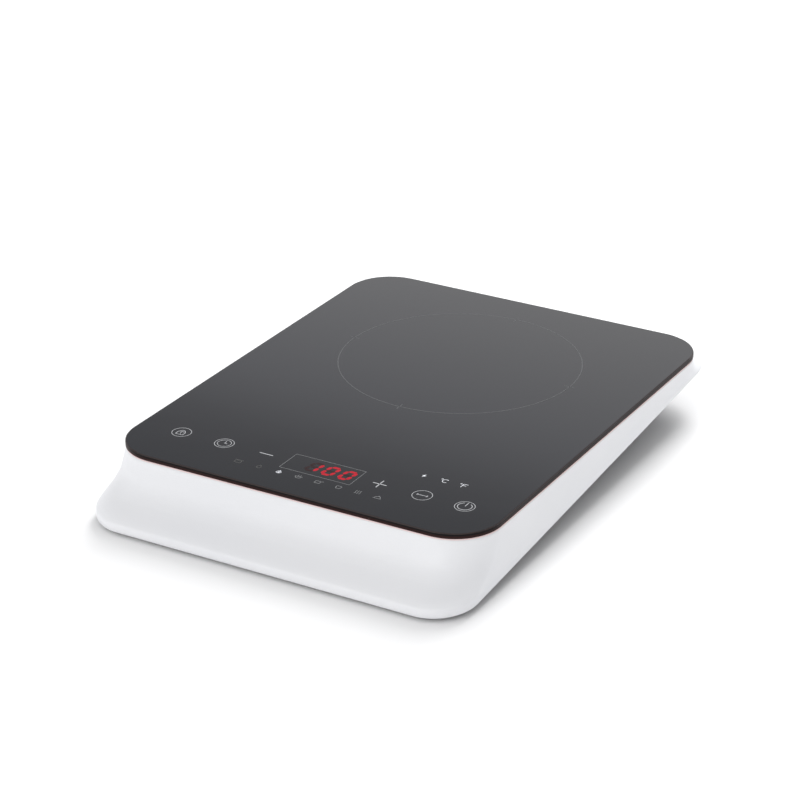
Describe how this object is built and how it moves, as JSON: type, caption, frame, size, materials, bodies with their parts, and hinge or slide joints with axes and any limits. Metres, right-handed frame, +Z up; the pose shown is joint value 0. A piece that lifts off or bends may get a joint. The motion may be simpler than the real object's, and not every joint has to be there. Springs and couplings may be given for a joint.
{
  "type": "electric induction cooktop",
  "caption": "Portable single-zone induction cooktop: black glass plate on a white flared skirt, dark vented base on feet, with coil, boards and fan inside.",
  "frame": {"origin": "centre of the bounding box, on the surface that the feet stand on", "axes": "+Z up out of the cooking surface; -Y is the front, where the controls are; +X is the user's right"},
  "size_m": [0.2952, 0.4108, 0.049],
  "materials": {
    "glass_top": "polished black glass-ceramic, opaque",
    "black_silicone": "matte silicone",
    "seal_silicone": "pale translucent silicone",
    "print_grey": "fired enamel print",
    "display_red": "lit LED segments",
    "white_shell": "semi-gloss moulded white",
    "black_base": "fine moulded texture",
    "rubber": "matte",
    "zinc_screw": "zinc plated",
    "mica": "pressed mica sheet, satin",
    "litz_copper": "enamelled copper, stranded",
    "heat_resin": "glass-filled resin",
    "ferrite": "matte sintered",
    "spring_steel": "drawn wire",
    "red_silicone": "matte silicone",
    "thermistor_body": "matte",
    "glass_sleeve": "woven glass sleeve",
    "brass_post": "machined",
    "brown_board": "single-sided phenolic board",
    "green_board": "solder mask",
    "heatsink_alu": "extruded",
    "component_black": "moulded epoxy",
    "choke": "enamelled copper on a toroid",
    "capacitor_box": "moulded box",
    "can_sleeve": "shrink sleeve",
    "fuse_glass": "glass tube with end caps",
    "nickel": "nickel plated",
    "varistor_blue": "epoxy dipped",
    "transformer_tape": "polyester tape",
    "connector_white": "nylon",
    "fan_plastic": "moulded",
    "bronze": "sintered bronze",
    "lead_red": "PVC insulation",
    "display_black": "filled LED module",
    "led_white": "phosphor lens",
    "ribbon_grey": "PVC ribbon"
  },
  "bodies": {
    "housing": {"air_baffle": "heat_resin", "board_header": "connector_white", "board_screws": "zinc_screw", "bottom_cover": "black_base", "bridge_rectifier": "component_black", "buzzer": "component_black", "coil_carrier": "heat_resin", "coil_lead_inner": "glass_sleeve", "coil_lead_outer": "glass_sleeve", "coil_springs": "spring_steel", "coil_terminals": "brass_post", "coil_thermistor": "thermistor_body", "control_board": "green_board", "control_bracket": "heat_resin", "control_screws": "zinc_screw", "controller_chip": "component_black", "cord_clamp": "black_base", "cord_clamp_screws": "zinc_screw", "cord_gland": "black_silicone", "cover_screws": "zinc_screw", "display_module": "display_black", "electrolytic_capacitors": "can_sleeve", "fan_bushing": "bronze", "fan_connector": "connector_white", "fan_frame": "fan_plastic", "fan_lead": "lead_red", "fan_screws": "zinc_screw", "fan_stator": "litz_copper", "ferrite_bars": "ferrite", "filter_capacitor": "capacitor_box", "filter_choke": "choke", "foot_screws": "zinc_screw", "fuse": "fuse_glass", "fuse_clips": "nickel", "glass_plate": "glass_top", "glass_seal": "seal_silicone", "heatsink": "heatsink_alu", "heatsink_screws": "zinc_screw", "igbt": "component_black", "indicator_leds": "led_white", "induction_coil": "litz_copper", "intake_grille": "black_base", "main_board": "brown_board", "mains_terminals": "nickel", "mica_sheet": "mica", "resonance_capacitor": "capacitor_box", "ribbon_cable": "ribbon_grey", "rubber_feet": "rubber", "standby_transformer": "transformer_tape", "thermistor_clip": "red_silicone", "touch_springs": "spring_steel", "upper_shell": "white_shell", "varistor": "varistor_blue", "x_capacitor": "capacitor_box"},
    "fan_rotor": {"fan_rotor": "fan_plastic", "fan_magnet_ring": "ferrite", "fan_shaft": "spring_steel"}
  },
  "joints": [
    {"name": "fan_spin", "type": "hinge", "parent": "housing", "child": "fan_rotor", "pos_m": [-0.05, 0.084, 0.016], "axis": [0, 0, 1], "continuous": true}
  ]
}
